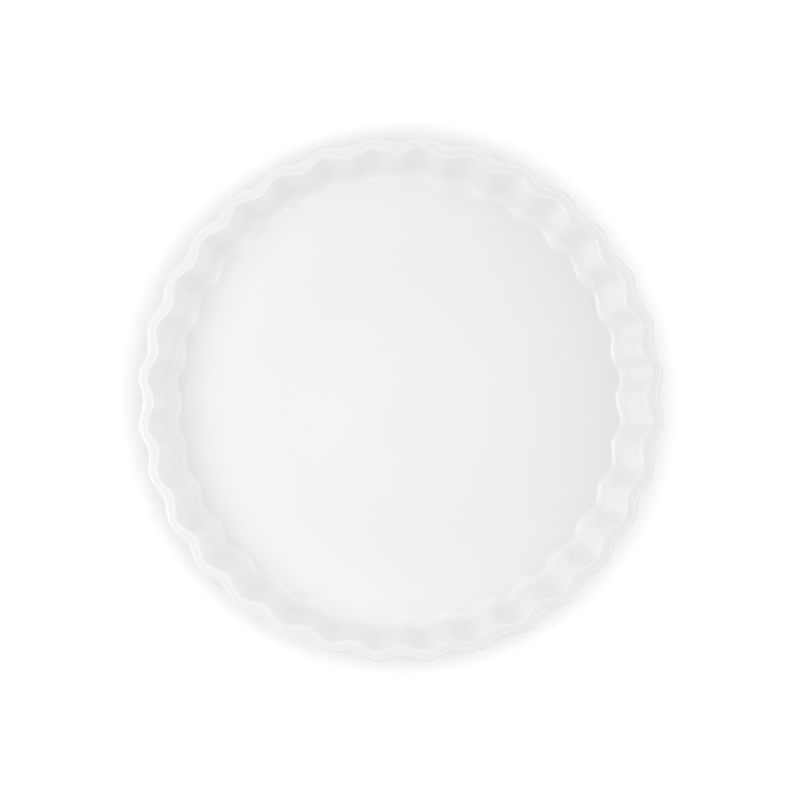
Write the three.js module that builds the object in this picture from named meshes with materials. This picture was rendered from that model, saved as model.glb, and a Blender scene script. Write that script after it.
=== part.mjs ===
// A round fluted baking dish for tarts and quiches, pressed and fired in stoneware.
// The clay is one piece. A white glaze is fired onto it: one coat covers the floor, the wall and
// the rim and runs under the base to the foot ring, and a second one lies inside the ring.
// The foot ring itself is left bare, so that the dish doesn't stick to the kiln shelf.
//
// Millimetres, +Z up. The origin is the middle of the foot ring, on the table.
// Every size is taken over the glaze, and the radius of a fluted face is that of its middle line,
// half way between the crest and the hollow of a flute.
import * as THREE from "three";
import { mergeGeometries } from "three/addons/utils/BufferGeometryUtils.js";

// Overall sizes
const rimDiameter = 280; // outside, across the crests of the flutes
const dishHeight = 40; // table to rim

// Wall, rim and floor
const wallDraft = 18; // degrees that the wall leans out from upright, on both of its sides
const wallWidth = 7; // across the rim, from corner to corner
const floorThickness = 5.8;
const floorFillet = 3.8; // inside, between floor and wall
const rimInnerEdge = 1.2; // rounding of the rim towards the inside
const rimOuterEdge = 1.5; // rounding of the rim towards the outside
const baseRound = 6; // rounding between the wall and the underside

// Flutes
const fluteCount = 32;
const innerFluteDepth = 3.9; // crest to hollow on the inside of the wall
const outerFluteDepth = 2.9; // crest to hollow on the outside of the wall

// Foot ring
const footInset = 2.5; // from the end of the base's rounding, in the hollow of a flute, in to the ring
const footWidth = 6;
const footHeight = 1.2;

// Glaze
const glazeThickness = 0.4;

// Facets
const stepsPerFlute = 6;
const stepsPerRound = 2;

// Places that follow from the sizes
const draft = THREE.MathUtils.degToRad(wallDraft);
const rimAngle = Math.PI / 2 - draft; // of the clay at the rim's outer corner
const baseAngle = Math.PI / 2 + draft; // of the clay at the corner under the wall
const innerFlute = innerFluteDepth / 2;
const outerFlute = outerFluteDepth / 2;
const floorTop = footHeight + floorThickness;
const rimCornerReach = roundLength(rimOuterEdge, rimAngle) - rimOuterEdge;
const rimOuterRadius = rimDiameter / 2 - outerFlute + rimCornerReach;
const rimInnerRadius = rimOuterRadius - wallWidth;
const floorRadius = rimInnerRadius - (dishHeight - floorTop) * Math.tan(draft);
const baseRadius = rimOuterRadius - (dishHeight - footHeight) * Math.tan(draft);
const footRadius = baseRadius - roundLength(baseRound, baseAngle) - outerFlute - footInset;
const footBoreRadius = footRadius - footWidth;
const clayUnderside = footHeight + glazeThickness;

// A corner of an outline in the half plane of radius and height. round is the radius of its
// rounding, and flute is how far the flutes carry it in and out.
function corner(radius, height, round = 0, flute = 0) {
  return { at: new THREE.Vector2(radius, height), round, flute, steps: stepsPerRound };
}

// How far from a corner its rounding begins, where two edges meet at that angle.
function roundLength(round, angle) {
  return round / Math.tan(angle / 2);
}

function edgeDirection(from, to) {
  return to.at.clone().sub(from.at).normalize();
}

// The side of an edge that the clay is on, on the way from the foot over the rim to the floor.
function clayward(direction) {
  return new THREE.Vector2(-direction.y, direction.x);
}

// The same outline moved into the clay, edge by edge. An outward corner gets a smaller rounding,
// which the glaze hides, so one facet is enough for it. An inward corner gets a larger one.
function moveIntoClay(outline, distance) {
  return outline.map((point, i) => {
    const before = i > 0 ? edgeDirection(outline[i - 1], point) : edgeDirection(point, outline[1]);
    const after = i < outline.length - 1 ? edgeDirection(point, outline[i + 1]) : before;
    const bisector = clayward(before).add(clayward(after));
    const at = point.at.clone().addScaledVector(bisector, (2 * distance) / bisector.lengthSq());
    const outward = before.cross(after) > 0;
    const round = Math.max(0, outward ? point.round - distance : point.round + distance);
    return {
      ...point,
      at,
      round: point.round > 0 ? round : 0,
      steps: outward ? 1 : point.steps,
    };
  });
}

// The outline's points in order, with each rounded corner as an arc.
function trace(outline) {
  return outline.flatMap((point, i) => {
    if (point.round === 0) return [point];
    const back = edgeDirection(point, outline[i - 1]);
    const ahead = edgeDirection(point, outline[i + 1]);
    const angle = back.angleTo(ahead);
    const middle = back.clone().add(ahead).normalize();
    const start = point.at.clone().addScaledVector(back, roundLength(point.round, angle));
    const centre = point.at.clone().addScaledVector(middle, point.round / Math.sin(angle / 2));
    const sweep = (Math.PI - angle) * Math.sign(ahead.cross(back));
    return Array.from({ length: point.steps + 1 }, (_, step) => ({
      at: start.clone().rotateAround(centre, (sweep * step) / point.steps),
      flute: point.flute,
    }));
  });
}

// Turns an outline about the axis and draws the flutes into it. The hollow of a flute lies on +X.
function flutedTurning(points) {
  const profile = points.map((point) => point.at);
  const turned = new THREE.LatheGeometry(profile, fluteCount * stepsPerFlute, Math.PI / 2);
  turned.rotateX(Math.PI / 2);
  const position = turned.getAttribute("position");
  for (let i = 0; i < position.count; i++) {
    const { at, flute } = points[i % points.length];
    if (flute === 0) continue;
    const step = Math.floor(i / points.length);
    const wave = -Math.cos((2 * Math.PI * step) / stepsPerFlute);
    const stretch = 1 + (flute * wave) / at.x;
    position.setX(i, position.getX(i) * stretch);
    position.setY(i, position.getY(i) * stretch);
  }
  return turned;
}

// The same surface seen from its other side.
function turnedOver(geometry) {
  const index = geometry.getIndex();
  for (let i = 0; i < index.count; i += 3) {
    const second = index.getX(i + 1);
    index.setX(i + 1, index.getX(i + 2));
    index.setX(i + 2, second);
  }
  return geometry;
}

// The glazed face, from the foot ring up the outside, over the rim and down to the middle of the
// floor, and the face of the clay behind it.
const glazedFace = [
  corner(footRadius, footHeight),
  corner(baseRadius, footHeight, baseRound, outerFlute),
  corner(rimOuterRadius, dishHeight, rimOuterEdge, outerFlute),
  corner(rimInnerRadius, dishHeight, rimInnerEdge, innerFlute),
  corner(floorRadius, floorTop, floorFillet, innerFlute),
  corner(0, floorTop),
];
const clayFace = moveIntoClay(glazedFace, glazeThickness);

function stonewareBody() {
  return flutedTurning([
    corner(0, clayUnderside),
    corner(footBoreRadius, clayUnderside),
    corner(footBoreRadius, 0),
    corner(footRadius, 0),
    ...trace(clayFace),
  ]);
}

// The coat's inner face is the clay's own, turned over, so that the two fit without a gap.
function glazeCoat() {
  const rolledEdge = clayFace[0];
  const outside = flutedTurning([rolledEdge, ...trace(glazedFace)]);
  const inside = turnedOver(flutedTurning(trace(clayFace)));
  return mergeGeometries([outside, inside]);
}

function baseGlaze() {
  return flutedTurning([
    corner(0, footHeight),
    corner(footBoreRadius, footHeight),
    corner(footBoreRadius, clayUnderside),
    corner(0, clayUnderside),
  ]);
}

function bareStoneware() {
  return new THREE.MeshStandardMaterial({ color: 0xcfc0aa, roughness: 0.85, metalness: 0 });
}

function whiteGlaze() {
  return new THREE.MeshStandardMaterial({ color: 0xf2f1ee, roughness: 0.15, metalness: 0 });
}

function piece(name, geometry, material) {
  const mesh = new THREE.Mesh(geometry, material);
  mesh.name = name;
  return mesh;
}

const dish = new THREE.Group();
dish.add(
  piece("stoneware_body", stonewareBody(), bareStoneware()),
  piece("glaze_coat", glazeCoat(), whiteGlaze()),
  piece("base_glaze", baseGlaze(), whiteGlaze()),
);

export default dish;
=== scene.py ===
"""Looks for the round fluted baking dish.

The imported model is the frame. The clay and the two layers of glaze are made again in it as fine
meshes, with smooth flutes and rounded edges, and get their finishes. A pale floor, a light tent
with a soft box at its left and a camera straight above the dish complete the picture.

Metres, +Z up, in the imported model's own frame.
"""

from __future__ import annotations

import logging
import math
from dataclasses import dataclass, replace
from enum import Enum

import bmesh
import bpy
from mathutils import Matrix, Vector


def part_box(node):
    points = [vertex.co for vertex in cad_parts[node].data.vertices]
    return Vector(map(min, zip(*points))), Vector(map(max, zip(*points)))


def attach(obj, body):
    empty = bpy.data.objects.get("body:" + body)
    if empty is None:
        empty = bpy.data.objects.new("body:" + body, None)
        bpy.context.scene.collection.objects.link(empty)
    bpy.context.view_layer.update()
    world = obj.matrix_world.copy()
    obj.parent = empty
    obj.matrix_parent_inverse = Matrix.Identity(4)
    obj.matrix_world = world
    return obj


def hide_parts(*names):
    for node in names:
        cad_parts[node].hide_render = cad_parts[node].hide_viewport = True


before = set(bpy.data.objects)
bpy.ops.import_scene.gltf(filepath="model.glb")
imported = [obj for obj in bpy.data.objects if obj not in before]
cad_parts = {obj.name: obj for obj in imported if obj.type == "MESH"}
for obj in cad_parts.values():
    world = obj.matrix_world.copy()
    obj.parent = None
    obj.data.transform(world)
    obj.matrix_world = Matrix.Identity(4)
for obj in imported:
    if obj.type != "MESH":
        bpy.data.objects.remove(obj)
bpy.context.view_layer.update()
LOG = logging.getLogger("baking_dish")

Colour = tuple[float, float, float, float]
Range = tuple[float, float]
Stops = tuple[tuple[float, float], ...]
Socket = bpy.types.NodeSocket

WHITE: Colour = (1.0, 1.0, 1.0, 1.0)
SHARE: Range = (0.0, 1.0)
NOISE_SPREAD: Range = (0.3, 0.7)  # most values of a noise lie between these
LEVEL: tuple[float, float, float] = (1.0, 1.0, 0.0)  # takes the height off a vector it multiplies


class CadNode(Enum):
    """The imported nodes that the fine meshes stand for."""

    BODY = "stoneware_body"
    COAT = "glaze_coat"
    BASE = "base_glaze"


class Slot(Enum):
    """The record's material slots."""

    CLAY = "bare_stoneware"
    GLAZE = "white_glaze"


class Trait(Enum):
    """Values that an outline or a piece carries along, by the name of their mesh attribute."""

    FLUTE = "flute"
    DEPTH = "depth"
    GATHER = "gather"
    INSIDE = "inside"
    GLAZE_DEPTH = "glaze_depth"


@dataclass(frozen=True)
class Corner:
    """A corner of an outline in the half plane of radius and height.

    Attributes:
        radius: distance from the axis, at the middle line of a fluted face.
        height: height over the table.
        rounding: radius of the arc that rounds the corner off.
        flute: how far the flutes carry the corner in and out.
        depth: how deep the glaze lies here, from -1 at its thinnest to 1 at its deepest; near -1, on the
            rim, it also sets painted shade.
        gather: how much more glaze lies at the crest of a flute than at its middle.
        inside: 0 outside, 1 at the rim's inner edge and more at the floor, because the inside was
            pressed a little beside the axis.
        steps: number of edges in the arc.
    """

    radius: float
    height: float
    rounding: float = 0.0
    flute: float = 0.0
    depth: float = 0.0
    gather: float = 0.0
    inside: float = 0.0
    steps: int = 1

    @property
    def at(self) -> Vector:
        """The corner as a point of the half plane."""
        return Vector((self.radius, self.height))


@dataclass(frozen=True)
class Outline:
    """A chain of corners from one end on the axis, or at the foot, to the other."""

    corners: tuple[Corner, ...]

    def direction(self, start: int, end: int) -> Vector:
        """The direction from one corner to another."""
        return (self.corners[end].at - self.corners[start].at).normalized()

    def moved_inwards(self, distance: float) -> Outline:
        """The outline moved into the clay, edge by edge, with its roundings kept concentric.

        Args:
            distance: how far every edge moves.

        Returns:
            An outline with the same corners.
        """
        last = len(self.corners) - 1
        moved = []
        for i, corner in enumerate(self.corners):
            before = self.direction(max(i, 1) - 1, max(i, 1))
            after = self.direction(min(i, last - 1), min(i, last - 1) + 1)
            bisector = _left(before) + _left(after)
            place = corner.at + bisector * (2 * distance / bisector.length_squared)
            turn = before.x * after.y - before.y * after.x
            change = -distance if turn > 0 else distance
            rounding = max(0.0, corner.rounding + change) if corner.rounding else 0.0
            moved.append(replace(corner, radius=place.x, height=place.y, rounding=rounding))
        return Outline(tuple(moved))

    def with_sharp_start(self) -> Outline:
        """The outline without the rounding of its first corner."""
        return Outline((replace(self.corners[0], rounding=0.0), *self.corners[1:]))

    def joined(self, other: Outline) -> Outline:
        """This outline followed by another one."""
        return Outline(self.corners + other.corners)

    def traced(self, span: float) -> list[Corner]:
        """The points along the outline, with arcs at the rounded corners.

        Args:
            span: the longest edge that a straight stretch may have.

        Returns:
            The points in order, as corners without a rounding.
        """
        points: list[Corner] = []
        for i in range(len(self.corners)):
            for point in self._arc(i):
                if points:
                    points += _between(points[-1], point, span)
                points.append(point)
        return points

    def _arc(self, i: int) -> list[Corner]:
        """The points of one corner's rounding, or the corner itself where it is sharp.

        Args:
            i: the corner's number.

        Returns:
            The points in order, as corners without a rounding.
        """
        corner = self.corners[i]
        if corner.rounding == 0.0:
            return [corner]
        back = self.direction(i, i - 1)
        ahead = self.direction(i, i + 1)
        angle = back.angle(ahead)
        middle = (back + ahead).normalized()
        centre = corner.at + middle * (corner.rounding / math.sin(angle / 2))
        start = corner.at + back * _rounding_length(corner.rounding, angle) - centre
        sweep = math.copysign(math.pi - angle, ahead.x * back.y - ahead.y * back.x)
        points = []
        for step in range(corner.steps + 1):
            turn = sweep * step / corner.steps
            x = start.x * math.cos(turn) - start.y * math.sin(turn)
            y = start.x * math.sin(turn) + start.y * math.cos(turn)
            points.append(replace(corner, radius=centre.x + x, height=centre.y + y, rounding=0.0))
        return points


def _left(direction: Vector) -> Vector:
    """The direction a quarter turn to the left, where the clay is."""
    return Vector((-direction.y, direction.x))


def _rounding_length(rounding: float, angle: float) -> float:
    """How far from a corner its rounding begins, where two edges meet at that angle."""
    return rounding / math.tan(angle / 2)


def _between(start: Corner, end: Corner, span: float) -> list[Corner]:
    """Points that cut a straight stretch into edges no longer than a span.

    Args:
        start: the point before the stretch.
        end: the point after it.
        span: the longest edge allowed.

    Returns:
        The points between the two, without them.
    """
    pieces = max(1, math.ceil((end.at - start.at).length / span))
    points = []
    for piece in range(1, pieces):
        share = piece / pieces
        points.append(
            Corner(
                radius=start.radius + (end.radius - start.radius) * share,
                height=start.height + (end.height - start.height) * share,
                flute=start.flute + (end.flute - start.flute) * share,
                depth=start.depth + (end.depth - start.depth) * share,
                gather=start.gather + (end.gather - start.gather) * share,
                inside=start.inside + (end.inside - start.inside) * share,
            )
        )
    return points


@dataclass(frozen=True)
class DishSizes:
    """The dish's sizes in metres and radians, taken over the glaze.

    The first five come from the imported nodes' boxes. Then follow the part's own sizes. The last eight
    are finer than the part: they follow the photograph's highlights and what fired edges are like.

    Attributes:
        rim_radius: outside, at the crest of a flute.
        height: from the table to the rim.
        foot_height: from the table to the glaze inside the foot ring.
        foot_bore_radius: inner radius of the foot ring.
        glaze: thickness of the glaze.
        flutes: number of flutes round the dish.
        wall_draft: how far the wall leans out from upright.
        wall_width: across the rim, from corner to corner.
        floor_thickness: from the underside to the floor.
        rim_inner_edge: rounding of the rim towards the inside.
        rim_outer_edge: rounding of the rim towards the outside.
        base_round: rounding between the wall and the underside.
        inner_flute: how far a flute swings in and out at the rim's inner edge.
        outer_flute: how far a flute swings in and out on the outside.
        foot_width: width of the foot ring.
        floor_fillet: rounding at the end of the floor.
        wall_fillet: the wider rounding above it, at the foot of the wall.
        fillet_reach: from the corner of floor and wall to the corners of these two roundings.
        fillet_flute: how far a flute swings in and out at both of them.
        fillet_spread: how far the corner of floor and wall stands out past the wall's draft.
        floor_aside: how far the floor lies beside the axis, where the rim's inner edge is 1.
        foot_edge: rounding of the foot ring's edges.
        glaze_edge: rounding of the glaze's ends.
    """

    rim_radius: float
    height: float
    foot_height: float
    foot_bore_radius: float
    glaze: float
    flutes: int = 32
    wall_draft: float = math.radians(18.0)
    wall_width: float = 0.007
    floor_thickness: float = 0.0058
    rim_inner_edge: float = 0.0012
    rim_outer_edge: float = 0.0015
    base_round: float = 0.006
    inner_flute: float = 0.00195
    outer_flute: float = 0.00145
    foot_width: float = 0.006
    floor_fillet: float = 0.004
    wall_fillet: float = 0.012
    fillet_reach: float = 0.0034
    fillet_flute: float = 0.0014
    fillet_spread: float = 0.0011
    floor_aside: float = 1.35
    foot_edge: float = 0.0006
    glaze_edge: float = 0.0003

    @classmethod
    def from_frame(cls) -> DishSizes:
        """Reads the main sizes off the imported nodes.

        Returns:
            The sizes, with the rim's radius at the crest of a flute.
        """
        body_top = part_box(CadNode.BODY.value)[1].z
        coat_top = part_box(CadNode.COAT.value)[1]
        base_low, base_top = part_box(CadNode.BASE.value)
        half_flute = math.pi / cls.flutes
        return cls(
            rim_radius=coat_top.x / math.cos(half_flute),
            height=coat_top.z,
            foot_height=base_low.z,
            foot_bore_radius=base_top.x,
            glaze=coat_top.z - body_top,
        )

    @property
    def floor_top(self) -> float:
        """Height of the floor inside the dish."""
        return self.foot_height + self.floor_thickness

    @property
    def underside(self) -> float:
        """Height of the clay inside the foot ring."""
        return self.foot_height + self.glaze

    @property
    def foot_radius(self) -> float:
        """Outer radius of the foot ring."""
        return self.foot_bore_radius + self.foot_width

    def coat_outline(self) -> Outline:
        """The glazed face, from the foot ring up the outside, over the rim and down to the floor.

        Returns:
            The outline with its roundings, flutes and glaze depths.
        """
        lean = math.tan(self.wall_draft)
        rim_angle = math.pi / 2 - self.wall_draft
        reach = _rounding_length(self.rim_outer_edge, rim_angle) - self.rim_outer_edge
        outer = self.rim_radius - self.outer_flute + reach
        inner = outer - self.wall_width
        base = outer - (self.height - self.foot_height) * lean
        inside_height = self.height - self.floor_top
        floor = inner - inside_height * lean + self.fillet_spread
        rise = Vector((inner - floor, inside_height)).normalized() * self.fillet_reach
        wall_foot = (floor + rise.x, self.floor_top + rise.y)
        floor_end = (floor - self.fillet_reach, self.floor_top)
        outside = {"flute": self.outer_flute}
        inside = {"flute": self.inner_flute, "inside": 1.0}
        fillet = {"flute": self.fillet_flute, "inside": self.floor_aside, "steps": 8}
        return Outline(
            (
                Corner(self.foot_radius, self.foot_height, self.glaze_edge, depth=-0.5, steps=4),
                Corner(
                    base, self.foot_height, self.base_round, depth=0.3, gather=-0.3, steps=8, **outside
                ),
                # Depth -1 at the rim's outer edge: the thinnest glaze, and painted shade that dulls the
                # edge's highlight.
                Corner(outer, self.height, self.rim_outer_edge, depth=-1.0, steps=10, **outside),
                Corner(inner, self.height, self.rim_inner_edge, depth=-0.86, steps=6, **inside),
                Corner(*wall_foot, self.wall_fillet, depth=0.4, gather=0.2, **fillet),
                Corner(*floor_end, self.floor_fillet, depth=0.6, gather=0.3, **fillet),
                Corner(0.0, self.floor_top, inside=self.floor_aside),
            )
        )


class NodeTree:
    """A small hand for building a node tree: it adds nodes and wires their sockets."""

    def __init__(self, tree: bpy.types.NodeTree) -> None:
        """Keeps the tree that is being built."""
        self.tree = tree

    def add(
        self, kind: str, inputs: dict[str | int, object] | None = None, **settings: object
    ) -> bpy.types.Node:
        """Adds a node, with its settings and what goes into its sockets.

        Args:
            kind: the node's type name.
            inputs: for each socket's name or number, a value or the socket that feeds it.
            **settings: the node's own properties.

        Returns:
            The new node.
        """
        node = self.tree.nodes.new(kind)
        for name, value in settings.items():
            setattr(node, name, value)
        self.feed(node, inputs or {})
        return node

    def feed(self, node: bpy.types.Node, inputs: dict[str | int, object]) -> None:
        """Sets what goes into a node's sockets.

        Args:
            node: the node.
            inputs: for each socket's name or number, a value or the socket that feeds it.
        """
        for key, value in inputs.items():
            if isinstance(value, Socket):
                self.tree.links.new(value, node.inputs[key])
            else:
                node.inputs[key].default_value = value

    def math(self, operation: str, first: object, second: object = 0.0) -> Socket:
        """Adds a sum, product or other function of one or two values.

        Args:
            operation: Blender's name of the function.
            first: a value or a socket.
            second: a value or a socket, for functions of two values.

        Returns:
            The result's socket.
        """
        node = self.add("ShaderNodeMath", {0: first, 1: second}, operation=operation)
        return node.outputs[0]


class FlutedTurning:
    """A Geometry Nodes tree that turns an outline about the axis and draws the flutes into it."""

    # Names of the tree's sockets
    OUTLINE = "Outline"
    STEPS = "Steps around"
    POINTS = "Outline points"
    FLUTES = "Flutes"
    UNEVENNESS = "Unevenness"
    SEED = "Seed"
    OFF_CENTRE = "Off centre"
    MATERIAL = "Material"
    PIECE = "Piece"

    # Values that every piece shares
    MERGE_DISTANCE = 1e-7
    LOBES = 1.3  # waves of the unevenness in the length of a radius
    FIRING_SEED = 7

    def __init__(self) -> None:
        """Builds the tree once, for every turned piece."""
        self.tree = bpy.data.node_groups.new("fluted_turning", "GeometryNodeTree")
        self._declare_sockets()
        self._build()

    def _declare_sockets(self) -> None:
        """Gives the tree its named inputs and its output."""
        sockets = self.tree.interface
        sockets.new_socket(self.OUTLINE, in_out="INPUT", socket_type="NodeSocketGeometry")
        for name in (self.STEPS, self.POINTS, self.FLUTES, self.SEED):
            sockets.new_socket(name, in_out="INPUT", socket_type="NodeSocketInt")
        sockets.new_socket(self.UNEVENNESS, in_out="INPUT", socket_type="NodeSocketFloat")
        sockets.new_socket(self.OFF_CENTRE, in_out="INPUT", socket_type="NodeSocketVector")
        sockets.new_socket(self.MATERIAL, in_out="INPUT", socket_type="NodeSocketMaterial")
        sockets.new_socket(self.PIECE, in_out="OUTPUT", socket_type="NodeSocketGeometry")

    def _build(self) -> None:
        """Adds the nodes: a grid of rows and columns, bent into the fluted form."""
        hand = NodeTree(self.tree)
        given = hand.add("NodeGroupInput").outputs
        outline, points, steps = given[self.OUTLINE], given[self.POINTS], given[self.STEPS]
        columns = hand.math("ADD", steps, 1)
        grid = hand.add("GeometryNodeMeshGrid", {"Vertices X": columns, "Vertices Y": points})
        index = hand.add("GeometryNodeInputIndex").outputs[0]
        column = hand.math("FLOOR", hand.math("DIVIDE", hand.math("ADD", index, 0.5), points))
        row = hand.math("SUBTRACT", index, hand.math("MULTIPLY", column, points))
        angle = hand.math("DIVIDE", hand.math("MULTIPLY", column, math.tau), steps)
        phase = hand.math("MULTIPLY", angle, given[self.FLUTES])
        wave = hand.math("MULTIPLY", hand.math("COSINE", phase), -1)
        place, aside = self._place(hand, given, row, angle, wave)
        shaped = hand.add(
            "GeometryNodeSetPosition",
            {"Geometry": grid.outputs["Mesh"], "Position": place, "Offset": aside},
        )
        depth = self._sampled(hand, outline, row, Trait.DEPTH)
        gather = self._sampled(hand, outline, row, Trait.GATHER)
        # The glaze's depth; near -1, on the rim, it also sets painted shade.
        glaze_and_painted_light = hand.math("ADD", depth, hand.math("MULTIPLY", gather, wave))
        stored = hand.add(
            "GeometryNodeStoreNamedAttribute",
            {"Geometry": shaped.outputs[0], "Name": Trait.GLAZE_DEPTH.value, "Value": glaze_and_painted_light},
            data_type="FLOAT",
            domain="POINT",
        )
        closed = hand.add(
            "GeometryNodeMergeByDistance",
            {"Geometry": stored.outputs[0], "Distance": self.MERGE_DISTANCE},
        )
        smooth = hand.add("GeometryNodeSetShadeSmooth", {"Geometry": closed.outputs[0]})
        real = hand.add("GeometryNodeRealizeInstances", {"Geometry": smooth.outputs[0]})
        dressed = hand.add(
            "GeometryNodeSetMaterial",
            {"Geometry": real.outputs[0], "Material": given[self.MATERIAL]},
        )
        hand.add("NodeGroupOutput", {self.PIECE: dressed.outputs[0]})

    def _place(
        self, hand: NodeTree, given: bpy.types.NodeOutputs, row: Socket, angle: Socket, wave: Socket
    ) -> tuple[Socket, Socket]:
        """Where a point of the grid goes.

        Args:
            hand: builds the tree.
            given: the tree's inputs.
            row: the number of its point in the outline.
            angle: its angle round the axis.
            wave: how far out it lies on a flute, from -1 in the hollow to 1 on the crest.

        Returns:
            The sockets of its place about the axis and of its way beside the axis.
        """
        outline = given[self.OUTLINE]
        middle = hand.add("ShaderNodeSeparateXYZ", {0: self._sampled(hand, outline, row, None)}).outputs
        swing = hand.math("MULTIPLY", self._sampled(hand, outline, row, Trait.FLUTE), wave)
        uneven = self._unevenness(hand, given, angle, middle["Z"])
        bulge = hand.math("MULTIPLY", middle["X"], uneven)
        radius = hand.math("ADD", hand.math("ADD", middle["X"], swing), bulge)
        across = hand.math("MULTIPLY", radius, hand.math("COSINE", angle))
        along = hand.math("MULTIPLY", radius, hand.math("SINE", angle))
        bent = hand.add("ShaderNodeCombineXYZ", {0: across, 1: along, 2: middle["Z"]})
        inside = self._sampled(hand, outline, row, Trait.INSIDE)
        aside = hand.add(
            "ShaderNodeVectorMath", {0: given[self.OFF_CENTRE], "Scale": inside}, operation="SCALE"
        )
        return bent.outputs[0], aside.outputs[0]

    @staticmethod
    def _sampled(hand: NodeTree, outline: Socket, row: Socket, trait: Trait | None) -> Socket:
        """Reads a value off the outline's point in a row.

        Args:
            hand: builds the tree.
            outline: the outline's geometry.
            row: the point's number.
            trait: the attribute to read, or None for the point's place.

        Returns:
            The value's socket.
        """
        if trait is None:
            kind = "FLOAT_VECTOR"
            source = hand.add("GeometryNodeInputPosition")
        else:
            kind = "FLOAT"
            source = hand.add("GeometryNodeInputNamedAttribute", {"Name": trait.value}, data_type=kind)
        sample = hand.add(
            "GeometryNodeSampleIndex",
            {"Geometry": outline, "Value": source.outputs[0], "Index": row},
            data_type=kind,
            domain="POINT",
        )
        return sample.outputs["Value"]

    def _unevenness(
        self, hand: NodeTree, given: bpy.types.NodeOutputs, angle: Socket, height: Socket
    ) -> Socket:
        """How far the fired clay is out of round, as a share of the radius.

        Args:
            hand: builds the tree.
            given: the tree's inputs.
            angle: the angle round the axis.
            height: the height over the table.

        Returns:
            The share's socket.
        """
        around = hand.add(
            "ShaderNodeCombineXYZ",
            {0: hand.math("COSINE", angle), 1: hand.math("SINE", angle), 2: height},
        )
        noise = hand.add(
            "ShaderNodeTexNoise",
            {"Vector": around.outputs[0], "W": given[self.SEED], "Scale": self.LOBES, "Detail": 0.0},
            noise_dimensions="4D",
        )
        centred = hand.math("SUBTRACT", noise.outputs[0], 0.5)
        return hand.math("MULTIPLY", hand.math("MULTIPLY", centred, 2), given[self.UNEVENNESS])

    def turn(
        self,
        name: str,
        points: list[Corner],
        flutes: int,
        steps_per_flute: int,
        unevenness: float,
        off_centre: tuple[float, float, float],
        material: bpy.types.Material,
    ) -> bpy.types.Object:
        """Turns one outline into a closed piece.

        Args:
            name: the piece's name.
            points: the outline, from the axis to the axis, with the clay on its left.
            flutes: number of flutes round the dish.
            steps_per_flute: number of columns of faces in a flute.
            unevenness: how far the piece is out of round, as a share of its radius.
            off_centre: how far the inside lies beside the axis.
            material: the piece's finish.

        Returns:
            The piece, as a plain mesh at the origin.
        """
        piece = bpy.data.objects.new(name, self._outline_mesh(name, points))
        bpy.context.scene.collection.objects.link(piece)
        modifier = piece.modifiers.new("turning", "NODES")
        modifier.node_group = self.tree
        values = {
            self.STEPS: flutes * steps_per_flute,
            self.POINTS: len(points),
            self.FLUTES: flutes,
            self.SEED: self.FIRING_SEED,
            self.UNEVENNESS: unevenness,
            self.OFF_CENTRE: off_centre,
            self.MATERIAL: material,
        }
        for socket in self.tree.interface.items_tree:
            if socket.name in values:
                modifier[socket.identifier] = values[socket.name]
        graph = bpy.context.evaluated_depsgraph_get()
        made = bpy.data.meshes.new_from_object(piece.evaluated_get(graph))
        outline = piece.data
        piece.modifiers.remove(modifier)
        piece.data = made
        bpy.data.meshes.remove(outline)
        made.name = name
        return piece

    @staticmethod
    def _outline_mesh(name: str, points: list[Corner]) -> bpy.types.Mesh:
        """The outline as a chain of vertices that carry their traits.

        Args:
            name: the mesh's name.
            points: the outline's points.

        Returns:
            The mesh.
        """
        mesh = bpy.data.meshes.new(f"{name}_outline")
        places = [(point.radius, 0.0, point.height) for point in points]
        edges = [(i, i + 1) for i in range(len(points) - 1)]
        mesh.from_pydata(places, edges, [])
        for trait in (Trait.FLUTE, Trait.DEPTH, Trait.GATHER, Trait.INSIDE):
            layer = mesh.attributes.new(trait.value, "FLOAT", "POINT")
            layer.data.foreach_set("value", [getattr(point, trait.value) for point in points])
        return mesh


class ShaderTree(NodeTree):
    """A material's node tree, with its shader ready to be fed."""

    def __init__(self, name: str) -> None:
        """Makes a material with one shader.

        Args:
            name: the material's name.
        """
        self.material = bpy.data.materials.new(name)
        self.material.use_nodes = True
        super().__init__(self.material.node_tree)
        self.tree.nodes.clear()
        self.shader = self.add("ShaderNodeBsdfPrincipled")
        self.add("ShaderNodeOutputMaterial", {"Surface": self.shader.outputs[0]})
        self.place = self.add("ShaderNodeTexCoord").outputs["Object"]

    def noise(self, size: float, detail: float = 2.0, roughness: float = 0.5) -> Socket:
        """A cloudy value from 0 to 1.

        Args:
            size: the clouds' size in metres.
            detail: number of finer layers.
            roughness: how strong the finer layers are.

        Returns:
            The value's socket.
        """
        node = self.add(
            "ShaderNodeTexNoise",
            {"Vector": self.place, "Scale": 1 / size, "Detail": detail, "Roughness": roughness},
        )
        return node.outputs[0]

    def ranged(self, value: Socket, source: Range, target: Range = SHARE) -> Socket:
        """Maps one range of values onto another.

        Args:
            value: the socket to map.
            source: its lowest and highest value.
            target: what they become, a share from 0 to 1 if nothing is said.

        Returns:
            The mapped value's socket.
        """
        ends = {0: value, 1: source[0], 2: source[1], 3: target[0], 4: target[1]}
        return self.add("ShaderNodeMapRange", ends).outputs[0]

    def mixed(self, share: object, first: object, second: object) -> Socket:
        """A mixture of two colours.

        Args:
            share: how much of the second colour, from 0 to 1.
            first: a colour or a socket.
            second: a colour or a socket.

        Returns:
            The mixture's socket.
        """
        node = self.add("ShaderNodeMix", {0: share, 6: first, 7: second}, data_type="RGBA")
        return node.outputs[2]

    def bump(self, height: Socket, depth: float) -> Socket:
        """Fine relief.

        Args:
            height: the relief's height, from 0 to 1.
            depth: how deep it is, in metres.

        Returns:
            The bent normal's socket.
        """
        return self.add("ShaderNodeBump", {"Height": height, "Distance": depth}).outputs[0]


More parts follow.
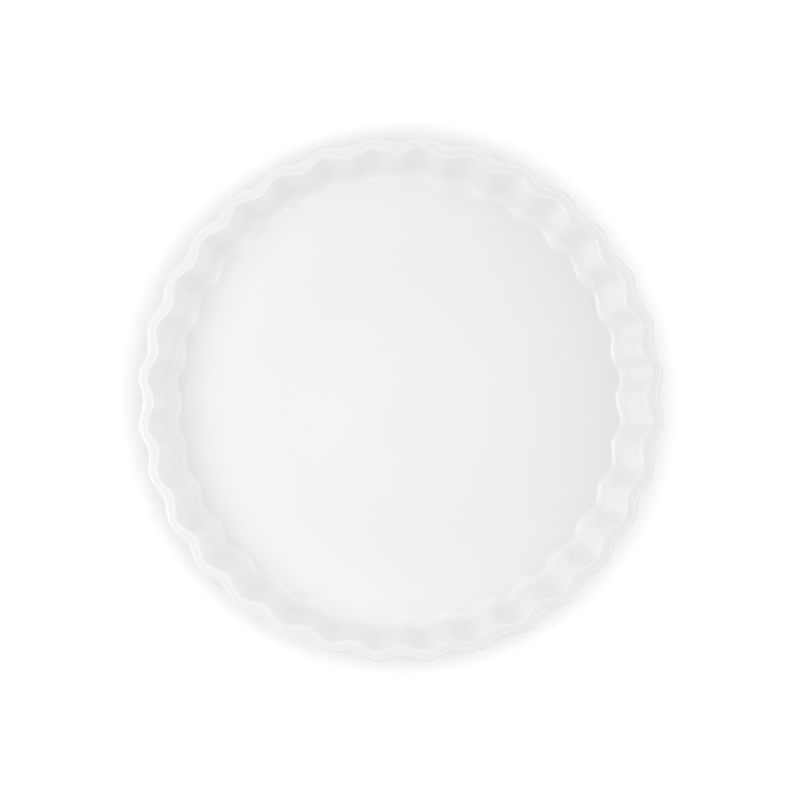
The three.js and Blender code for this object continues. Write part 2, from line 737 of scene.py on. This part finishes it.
@dataclass(frozen=True)
class GlazeFinish:
    """Glossy white glaze, thinner over the rim, with painted shade at the rim's outer edge and painted
    light on the floor towards the wall.

    Attributes:
        glaze_and_painted_light: colour of the floor towards the wall, whiter as painted light.
        full: colour elsewhere.
        cloud: colour of the faint clouds in it.
        thin_and_shaded: colour of the rim, where the glaze is thinner; at the outer edge it is also
            painted shade that dulls the edge's highlight.
        thin_range: the glaze's depths from the thinnest to the full one.
        cloud_size: size of the clouds.
        cloud_range: values of the noise from no cloud to a full one.
        painted_light_rise: radii between which the painted light on the floor grows.
        painted_light_fall: radii between which it ends, at the foot of the wall.
        peel_size: width of the faint waves in the gloss.
        peel_depth: depth of these waves.
        gloss: lowest and highest roughness.
        gloss_size: size of the spots of one roughness.
        refraction: the glaze's index of refraction.
    """

    glaze_and_painted_light: Colour = (0.893, 0.887, 0.874, 1.0)
    full: Colour = (0.87, 0.864, 0.851, 1.0)
    cloud: Colour = (0.86, 0.854, 0.842, 1.0)
    thin_and_shaded: Colour = (0.80, 0.792, 0.775, 1.0)
    thin_range: Range = (-1.0, -0.8)
    cloud_size: float = 0.045
    cloud_range: Range = (0.35, 0.65)
    painted_light_rise: Range = (0.0, 0.1)
    painted_light_fall: Range = (0.115, 0.121)
    peel_size: float = 0.0022
    peel_depth: float = 0.000004
    gloss: Range = (0.06, 0.1)
    gloss_size: float = 0.02
    refraction: float = 1.6

    def material(self, name: str) -> bpy.types.Material:
        """Makes the glaze's material.

        Args:
            name: the material's name.

        Returns:
            The material.
        """
        tree = ShaderTree(name)
        depth = tree.add("ShaderNodeAttribute", attribute_name=Trait.GLAZE_DEPTH.value)
        # The rim's colour: partly thinner glaze, partly painted shade that darkens the outer edge and
        # dulls its highlight.
        cover_and_shade = tree.ranged(depth.outputs["Fac"], self.thin_range)
        clouds = tree.ranged(tree.noise(self.cloud_size), self.cloud_range)
        cloudy = tree.mixed(clouds, self.full, self.cloud)
        # Painted light: the floor's glaze turns whiter and whiter towards the wall.
        glaze_with_painted_light = tree.mixed(self._painted_light_share(tree), cloudy, self.glaze_and_painted_light)
        tree.feed(
            tree.shader,
            {
                "Base Color": tree.mixed(cover_and_shade, self.thin_and_shaded, glaze_with_painted_light),
                "Roughness": tree.ranged(tree.noise(self.gloss_size), NOISE_SPREAD, self.gloss),
                "IOR": self.refraction,
                "Normal": tree.bump(tree.noise(self.peel_size, detail=1.0), self.peel_depth),
            },
        )
        return tree.material

    def _painted_light_share(self, tree: ShaderTree) -> Socket:
        """Where the glaze has run together on the floor: more and more towards the wall.

        Args:
            tree: the material's tree.

        Returns:
            The share of painted light, from 0 to 1.
        """
        level = tree.add("ShaderNodeVectorMath", {0: tree.place, 1: LEVEL}, operation="MULTIPLY")
        length = tree.add("ShaderNodeVectorMath", {0: level.outputs[0]}, operation="LENGTH")
        radius = length.outputs["Value"]
        rising = tree.ranged(radius, self.painted_light_rise)
        falling = tree.ranged(radius, self.painted_light_fall, SHARE[::-1])
        return tree.math("MULTIPLY", rising, falling)


@dataclass(frozen=True)
class ClayFinish:
    """Bare fired stoneware: matt, grainy and faintly speckled.

    Attributes:
        pale: the clay's colour.
        warm: colour of the clouds in it.
        speck: colour of the specks.
        cloud_size: size of the clouds.
        grain_size: size of the grains.
        grain_depth: depth of the relief between the grains.
        speck_size: size of the specks.
        speck_range: values of the noise from no speck to a full one.
        speck_cover: how far no speck and a full one hide the clay.
        matt: lowest and highest roughness.
    """

    pale: Colour = (0.66, 0.57, 0.45, 1.0)
    warm: Colour = (0.55, 0.45, 0.33, 1.0)
    speck: Colour = (0.24, 0.17, 0.11, 1.0)
    cloud_size: float = 0.012
    grain_size: float = 0.0006
    grain_depth: float = 0.00006
    speck_size: float = 0.0016
    speck_range: Range = (0.68, 0.74)
    speck_cover: Range = (0.0, 0.8)
    matt: Range = (0.78, 0.95)

    def material(self, name: str) -> bpy.types.Material:
        """Makes the clay's material.

        Args:
            name: the material's name.

        Returns:
            The material.
        """
        tree = ShaderTree(name)
        grain = tree.noise(self.grain_size, detail=3.0, roughness=0.7)
        clouds = tree.ranged(tree.noise(self.cloud_size, detail=4.0), NOISE_SPREAD)
        spots = tree.noise(self.speck_size, detail=1.0)
        specks = tree.ranged(spots, self.speck_range, self.speck_cover)
        toned = tree.mixed(clouds, self.pale, self.warm)
        tree.feed(
            tree.shader,
            {
                "Base Color": tree.mixed(specks, toned, self.speck),
                "Roughness": tree.ranged(grain, NOISE_SPREAD, self.matt),
                "Normal": tree.bump(grain, self.grain_depth),
            },
        )
        return tree.material


@dataclass(frozen=True)
class FloorFinish:
    """A plain pale table top.

    Attributes:
        pale: its colour.
        shade: colour of the faint clouds in it.
        cloud_size: size of the clouds.
        roughness: how matt it is.
    """

    pale: Colour = (0.5, 0.5, 0.5, 1.0)
    shade: Colour = (0.49, 0.49, 0.49, 1.0)
    cloud_size: float = 0.3
    roughness: float = 0.8

    def material(self, name: str) -> bpy.types.Material:
        """Makes the floor's material.

        Args:
            name: the material's name.

        Returns:
            The material.
        """
        tree = ShaderTree(name)
        tree.feed(
            tree.shader,
            {
                "Base Color": tree.mixed(tree.noise(self.cloud_size), self.pale, self.shade),
                "Roughness": self.roughness,
            },
        )
        return tree.material


@dataclass
class BakingDish:
    """The dish: fired clay, the coat of glaze on it and the glaze inside its foot ring.

    Attributes:
        sizes: the dish's sizes.
        turning: makes the pieces.
        glaze: finish of the two layers of glaze.
        clay: finish of the clay.
        steps_per_flute: number of columns of faces in a flute.
        outer_span: the longest edge in the outline of a face that shows.
        hidden_span: the longest edge in the outline of a hidden or flat face.
        unevenness: how far the fired dish is out of round, as a share of its radius.
        off_centre: how far the rim's inner edge lies beside the axis.
    """

    sizes: DishSizes
    turning: FlutedTurning
    glaze: GlazeFinish = GlazeFinish()
    clay: ClayFinish = ClayFinish()
    steps_per_flute: int = 20
    outer_span: float = 0.004
    hidden_span: float = 0.012
    unevenness: float = 0.0012
    off_centre: tuple[float, float, float] = (-0.00082, -0.00035, 0.0)

    def build(self) -> list[bpy.types.Object]:
        """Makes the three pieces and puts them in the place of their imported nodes.

        Returns:
            The pieces.
        """
        coat = self.sizes.coat_outline()
        clay = coat.moved_inwards(self.sizes.glaze).with_sharp_start()
        glaze_material = self.glaze.material(Slot.GLAZE.value)
        clay_material = self.clay.material(Slot.CLAY.value)
        return [
            self._placed(self._body(clay, clay_material), CadNode.BODY, Slot.CLAY),
            self._placed(self._coat(coat, clay, glaze_material), CadNode.COAT, Slot.GLAZE),
            self._placed(self._base(glaze_material), CadNode.BASE, Slot.GLAZE),
        ]

    def _body(self, clay: Outline, material: bpy.types.Material) -> bpy.types.Object:
        """The fired clay, with the recess inside the foot ring and the ring's rounded edges.

        Args:
            clay: the clay's face under the coat.
            material: the clay's finish.

        Returns:
            The piece.
        """
        sizes = self.sizes
        foot = Outline(
            (
                Corner(0.0, sizes.underside),
                Corner(sizes.foot_bore_radius, sizes.underside),
                Corner(sizes.foot_bore_radius, 0.0, sizes.foot_edge, steps=5),
                Corner(sizes.foot_radius, 0.0, sizes.foot_edge, steps=5),
            )
        )
        points = foot.joined(clay).traced(self.hidden_span)
        return self._turned("fired_stoneware", points, material)

    def _coat(self, coat: Outline, clay: Outline, material: bpy.types.Material) -> bpy.types.Object:
        """The coat of glaze, from the foot ring over the rim to the middle of the floor.

        Args:
            coat: the glazed face.
            clay: the face of the clay behind it.
            material: the glaze's finish.

        Returns:
            The piece.
        """
        behind = clay.traced(self.hidden_span)[1:][::-1]
        front = Outline(clay.corners[:1]).joined(coat).traced(self.outer_span)
        return self._turned("fired_glaze_coat", behind + front, material)

    def _base(self, material: bpy.types.Material) -> bpy.types.Object:
        """The glaze inside the foot ring.

        Args:
            material: the glaze's finish.

        Returns:
            The piece.
        """
        sizes = self.sizes
        disc = Outline(
            (
                Corner(0.0, sizes.foot_height),
                Corner(sizes.foot_bore_radius, sizes.foot_height, sizes.glaze_edge, depth=-0.5, steps=4),
                Corner(sizes.foot_bore_radius, sizes.underside),
                Corner(0.0, sizes.underside),
            )
        )
        return self._turned("fired_base_glaze", disc.traced(self.hidden_span), material)

    def _turned(
        self, name: str, points: list[Corner], material: bpy.types.Material
    ) -> bpy.types.Object:
        """Turns an outline with the dish's own flutes.

        Args:
            name: the piece's name.
            points: the piece's outline.
            material: the piece's finish.

        Returns:
            The piece.
        """
        return self.turning.turn(
            name,
            points,
            self.sizes.flutes,
            self.steps_per_flute,
            self.unevenness,
            self.off_centre,
            material,
        )

    @staticmethod
    def _placed(piece: bpy.types.Object, node: CadNode, slot: Slot) -> bpy.types.Object:
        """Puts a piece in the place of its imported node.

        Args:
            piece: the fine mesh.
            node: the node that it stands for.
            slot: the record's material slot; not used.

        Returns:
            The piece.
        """
        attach(piece, "root")
        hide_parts(node.value)
        LOG.info("%s: %d faces", piece.name, len(piece.data.polygons))
        return piece


@dataclass(frozen=True)
class SoftBox:
    """A large soft lamp that faces the dish.

    Attributes:
        name: what the lamp is called.
        azimuth: its direction from the dish, in degrees counterclockwise from +X.
        elevation: how high it stands over the rim, in degrees.
        distance: from the middle of the rim.
        size: its width and height.
        brightness: the light that each part of it gives off.
    """

    name: str
    azimuth: float
    elevation: float
    distance: float
    size: tuple[float, float]
    brightness: float

    def build(self, target: Vector) -> bpy.types.Object:
        """Hangs the lamp.

        Args:
            target: the point that the lamp faces.

        Returns:
            The lamp.
        """
        data = bpy.data.lights.new(self.name, "AREA")
        data.shape = "RECTANGLE"
        data.size, data.size_y = self.size
        data.energy = self.brightness * math.pi * self.size[0] * self.size[1]
        across = math.cos(math.radians(self.elevation))
        direction = Vector(
            (
                across * math.cos(math.radians(self.azimuth)),
                across * math.sin(math.radians(self.azimuth)),
                math.sin(math.radians(self.elevation)),
            )
        )
        lamp = bpy.data.objects.new(self.name, data)
        lamp.location = target + direction * self.distance
        lamp.rotation_euler = direction.to_track_quat("Z", "Y").to_euler()
        lamp.visible_camera = False
        bpy.context.scene.collection.objects.link(lamp)
        return lamp


@dataclass(frozen=True)
class OverheadCamera:
    """The camera above the dish, looking straight down.

    Attributes:
        picture: width and height of the square picture in pixels.
        rim_pixels: radius of the rim's crests in the picture.
        centre: the rim's middle in the picture, in pixels from the left and from the top.
        turn: how far the dish is turned in the picture, counterclockwise.
        distance: from the rim's plane to the camera.
        aside: how far the camera is beside the dish's axis, along X and Y.
        sensor: width of the camera's sensor in millimetres.
    """

    picture: float = 800.0
    rim_pixels: float = 264.2
    centre: tuple[float, float] = (401.1, 398.9)
    turn: float = math.radians(0.475)
    distance: float = 1.6
    aside: tuple[float, float] = (-0.012, -0.014)
    sensor: float = 36.0

    def build(self, sizes: DishSizes) -> None:
        """Places the camera so that the dish has its place and size in the picture.

        Args:
            sizes: the dish's sizes.
        """
        data = bpy.data.cameras.new("overhead_camera")
        data.sensor_width = self.sensor
        metres_per_pixel = sizes.rim_radius / self.rim_pixels
        data.lens = self.sensor * self.distance / (self.picture * metres_per_pixel)
        camera = bpy.data.objects.new("overhead_camera", data)
        camera.location = (*self.aside, sizes.height + self.distance)
        camera.rotation_euler.z = -self.turn
        to_dish = Vector((-self.aside[0], -self.aside[1])) / metres_per_pixel
        to_dish.rotate(Matrix.Rotation(self.turn, 2))
        data.shift_x = (to_dish.x + self.picture / 2 - self.centre[0]) / self.picture
        data.shift_y = (to_dish.y + self.centre[1] - self.picture / 2) / self.picture
        bpy.context.scene.collection.objects.link(camera)
        bpy.context.scene.camera = camera


@dataclass
class Studio:
    """The pale floor, the soft light and the camera.

    Attributes:
        sizes: the dish's sizes.
        floor_finish: finish of the floor.
        floor_width: length of the floor's sides.
        floor_faces: number of faces along each of them.
        sky: the light tent's rings, as the brightness at heights from 0, level, to 1, overhead.
        belt: the heights at which the sides add their light.
        sides: the brighter sides of the tent, each with its direction and its brightness.
        side_spread: how fast a side's light falls off round the tent; more is narrower.
        left_box: the lamp whose reflection runs along the fillet on the right.
        floor_lamp: a lamp for the floor alone, which makes the ground white.
        camera: the camera.
    """

    sizes: DishSizes
    floor_finish: FloorFinish = FloorFinish()
    floor_width: float = 6.0
    floor_faces: int = 8
    sky: Stops = (
        (0.0, 0.52),
        (0.19, 0.52),
        (0.225, 1.56),
        (0.405, 1.56),
        (0.44, 0.38),
        (0.925, 0.38),
        (0.955, 1.7),
        (0.985, 1.7),
        (0.995, 0.0),
    )
    belt: Stops = (
        (0.405, 0.0),
        (0.44, 1.0),
        (0.925, 1.0),
        (0.955, 0.0),
    )
    sides: tuple[tuple[tuple[float, float, float], float], ...] = (
        ((1.0, 0.0, 0.0), 0.91),
        ((-1.0, 0.0, 0.0), 0.31),
        ((0.0, 1.0, 0.0), 0.22),
    )
    side_spread: float = 2.0
    left_box: SoftBox = SoftBox(
        "left_box", azimuth=188.0, elevation=47.0, distance=0.7, size=(0.42, 0.32), brightness=2.85
    )
    floor_lamp: SoftBox = SoftBox(
        "floor_lamp", azimuth=-12.0, elevation=84.6, distance=2.0, size=(3.2, 3.2), brightness=2.94
    )
    camera: OverheadCamera = OverheadCamera()

    def build(self) -> None:
        """Makes the floor, the light and the camera."""
        floor = self._floor()
        self._sky()
        rim_middle = Vector((0.0, 0.0, self.sizes.height))
        self.left_box.build(rim_middle)
        self._light_only(self.floor_lamp.build(rim_middle), floor)
        self.camera.build(self.sizes)
        bpy.context.scene.view_settings.view_transform = "Standard"

    def _floor(self) -> bpy.types.Object:
        """Lays the floor under the foot ring.

        Returns:
            The floor.
        """
        mesh = bpy.data.meshes.new("floor")
        form = bmesh.new()
        faces, half = self.floor_faces, self.floor_width / 2
        bmesh.ops.create_grid(form, x_segments=faces, y_segments=faces, size=half)
        form.to_mesh(mesh)
        form.free()
        mesh.materials.append(self.floor_finish.material("pale_floor"))
        floor = bpy.data.objects.new("floor", mesh)
        bpy.context.scene.collection.objects.link(floor)
        return floor

    @staticmethod
    def _light_only(lamp: bpy.types.Object, piece: bpy.types.Object) -> None:
        """Lets a lamp light one piece alone. Everything still casts shadows in its light.

        Args:
            lamp: the lamp.
            piece: the only piece that it lights.
        """
        lit = bpy.data.collections.new(f"lit_by_{lamp.name}")
        lit.objects.link(piece)
        lamp.light_linking.receiver_collection = lit

    def _sky(self) -> None:
        """Lights the scene as a light tent does: rings one over another, brighter at the sides."""
        world = bpy.data.worlds.new("studio")
        world.use_nodes = True
        hand = NodeTree(world.node_tree)
        direction = hand.add("ShaderNodeTexCoord").outputs["Generated"]
        height = hand.add("ShaderNodeSeparateXYZ", {0: direction}).outputs["Z"]
        level = hand.add("ShaderNodeVectorMath", {0: direction, 1: LEVEL}, operation="MULTIPLY")
        around = hand.add("ShaderNodeVectorMath", {0: level.outputs[0]}, operation="NORMALIZE")
        strength = self._ramp(hand, height, self.sky)
        belt = self._ramp(hand, height, self.belt)
        for side, brightness in self.sides:
            facing = hand.add(
                "ShaderNodeVectorMath", {0: around.outputs[0], 1: side}, operation="DOT_PRODUCT"
            )
            faced = hand.math("MAXIMUM", facing.outputs["Value"], 0.0)
            lobe = hand.math("POWER", faced, self.side_spread)
            share = hand.math("MULTIPLY", hand.math("MULTIPLY", lobe, brightness), belt)
            strength = hand.math("ADD", strength, share)
        hand.feed(world.node_tree.nodes["Background"], {"Color": WHITE, "Strength": strength})
        bpy.context.scene.world = world

    @staticmethod
    def _ramp(hand: NodeTree, value: Socket, stops: Stops) -> Socket:
        """A value that follows another one from stop to stop.

        Args:
            hand: builds the tree.
            value: the value to follow, from 0 to 1.
            stops: its places and what the result is there.

        Returns:
            The result's socket.
        """
        ramp = hand.add("ShaderNodeValToRGB", {"Fac": value})
        elements = ramp.color_ramp.elements
        while len(elements) < len(stops):
            elements.new(1.0)
        for element, (place, strength) in zip(elements, stops):
            element.position = place
            element.color = (strength, strength, strength, 1.0)
        return ramp.outputs["Color"]


def main() -> None:
    """Builds the dish and the studio round it."""
    logging.basicConfig(level=logging.INFO, format="%(name)s: %(message)s")
    sizes = DishSizes.from_frame()
    pieces = BakingDish(sizes, FlutedTurning()).build()
    LOG.info("%d pieces", len(pieces))
    Studio(sizes).build()


if __name__ == "__main__":
    main()
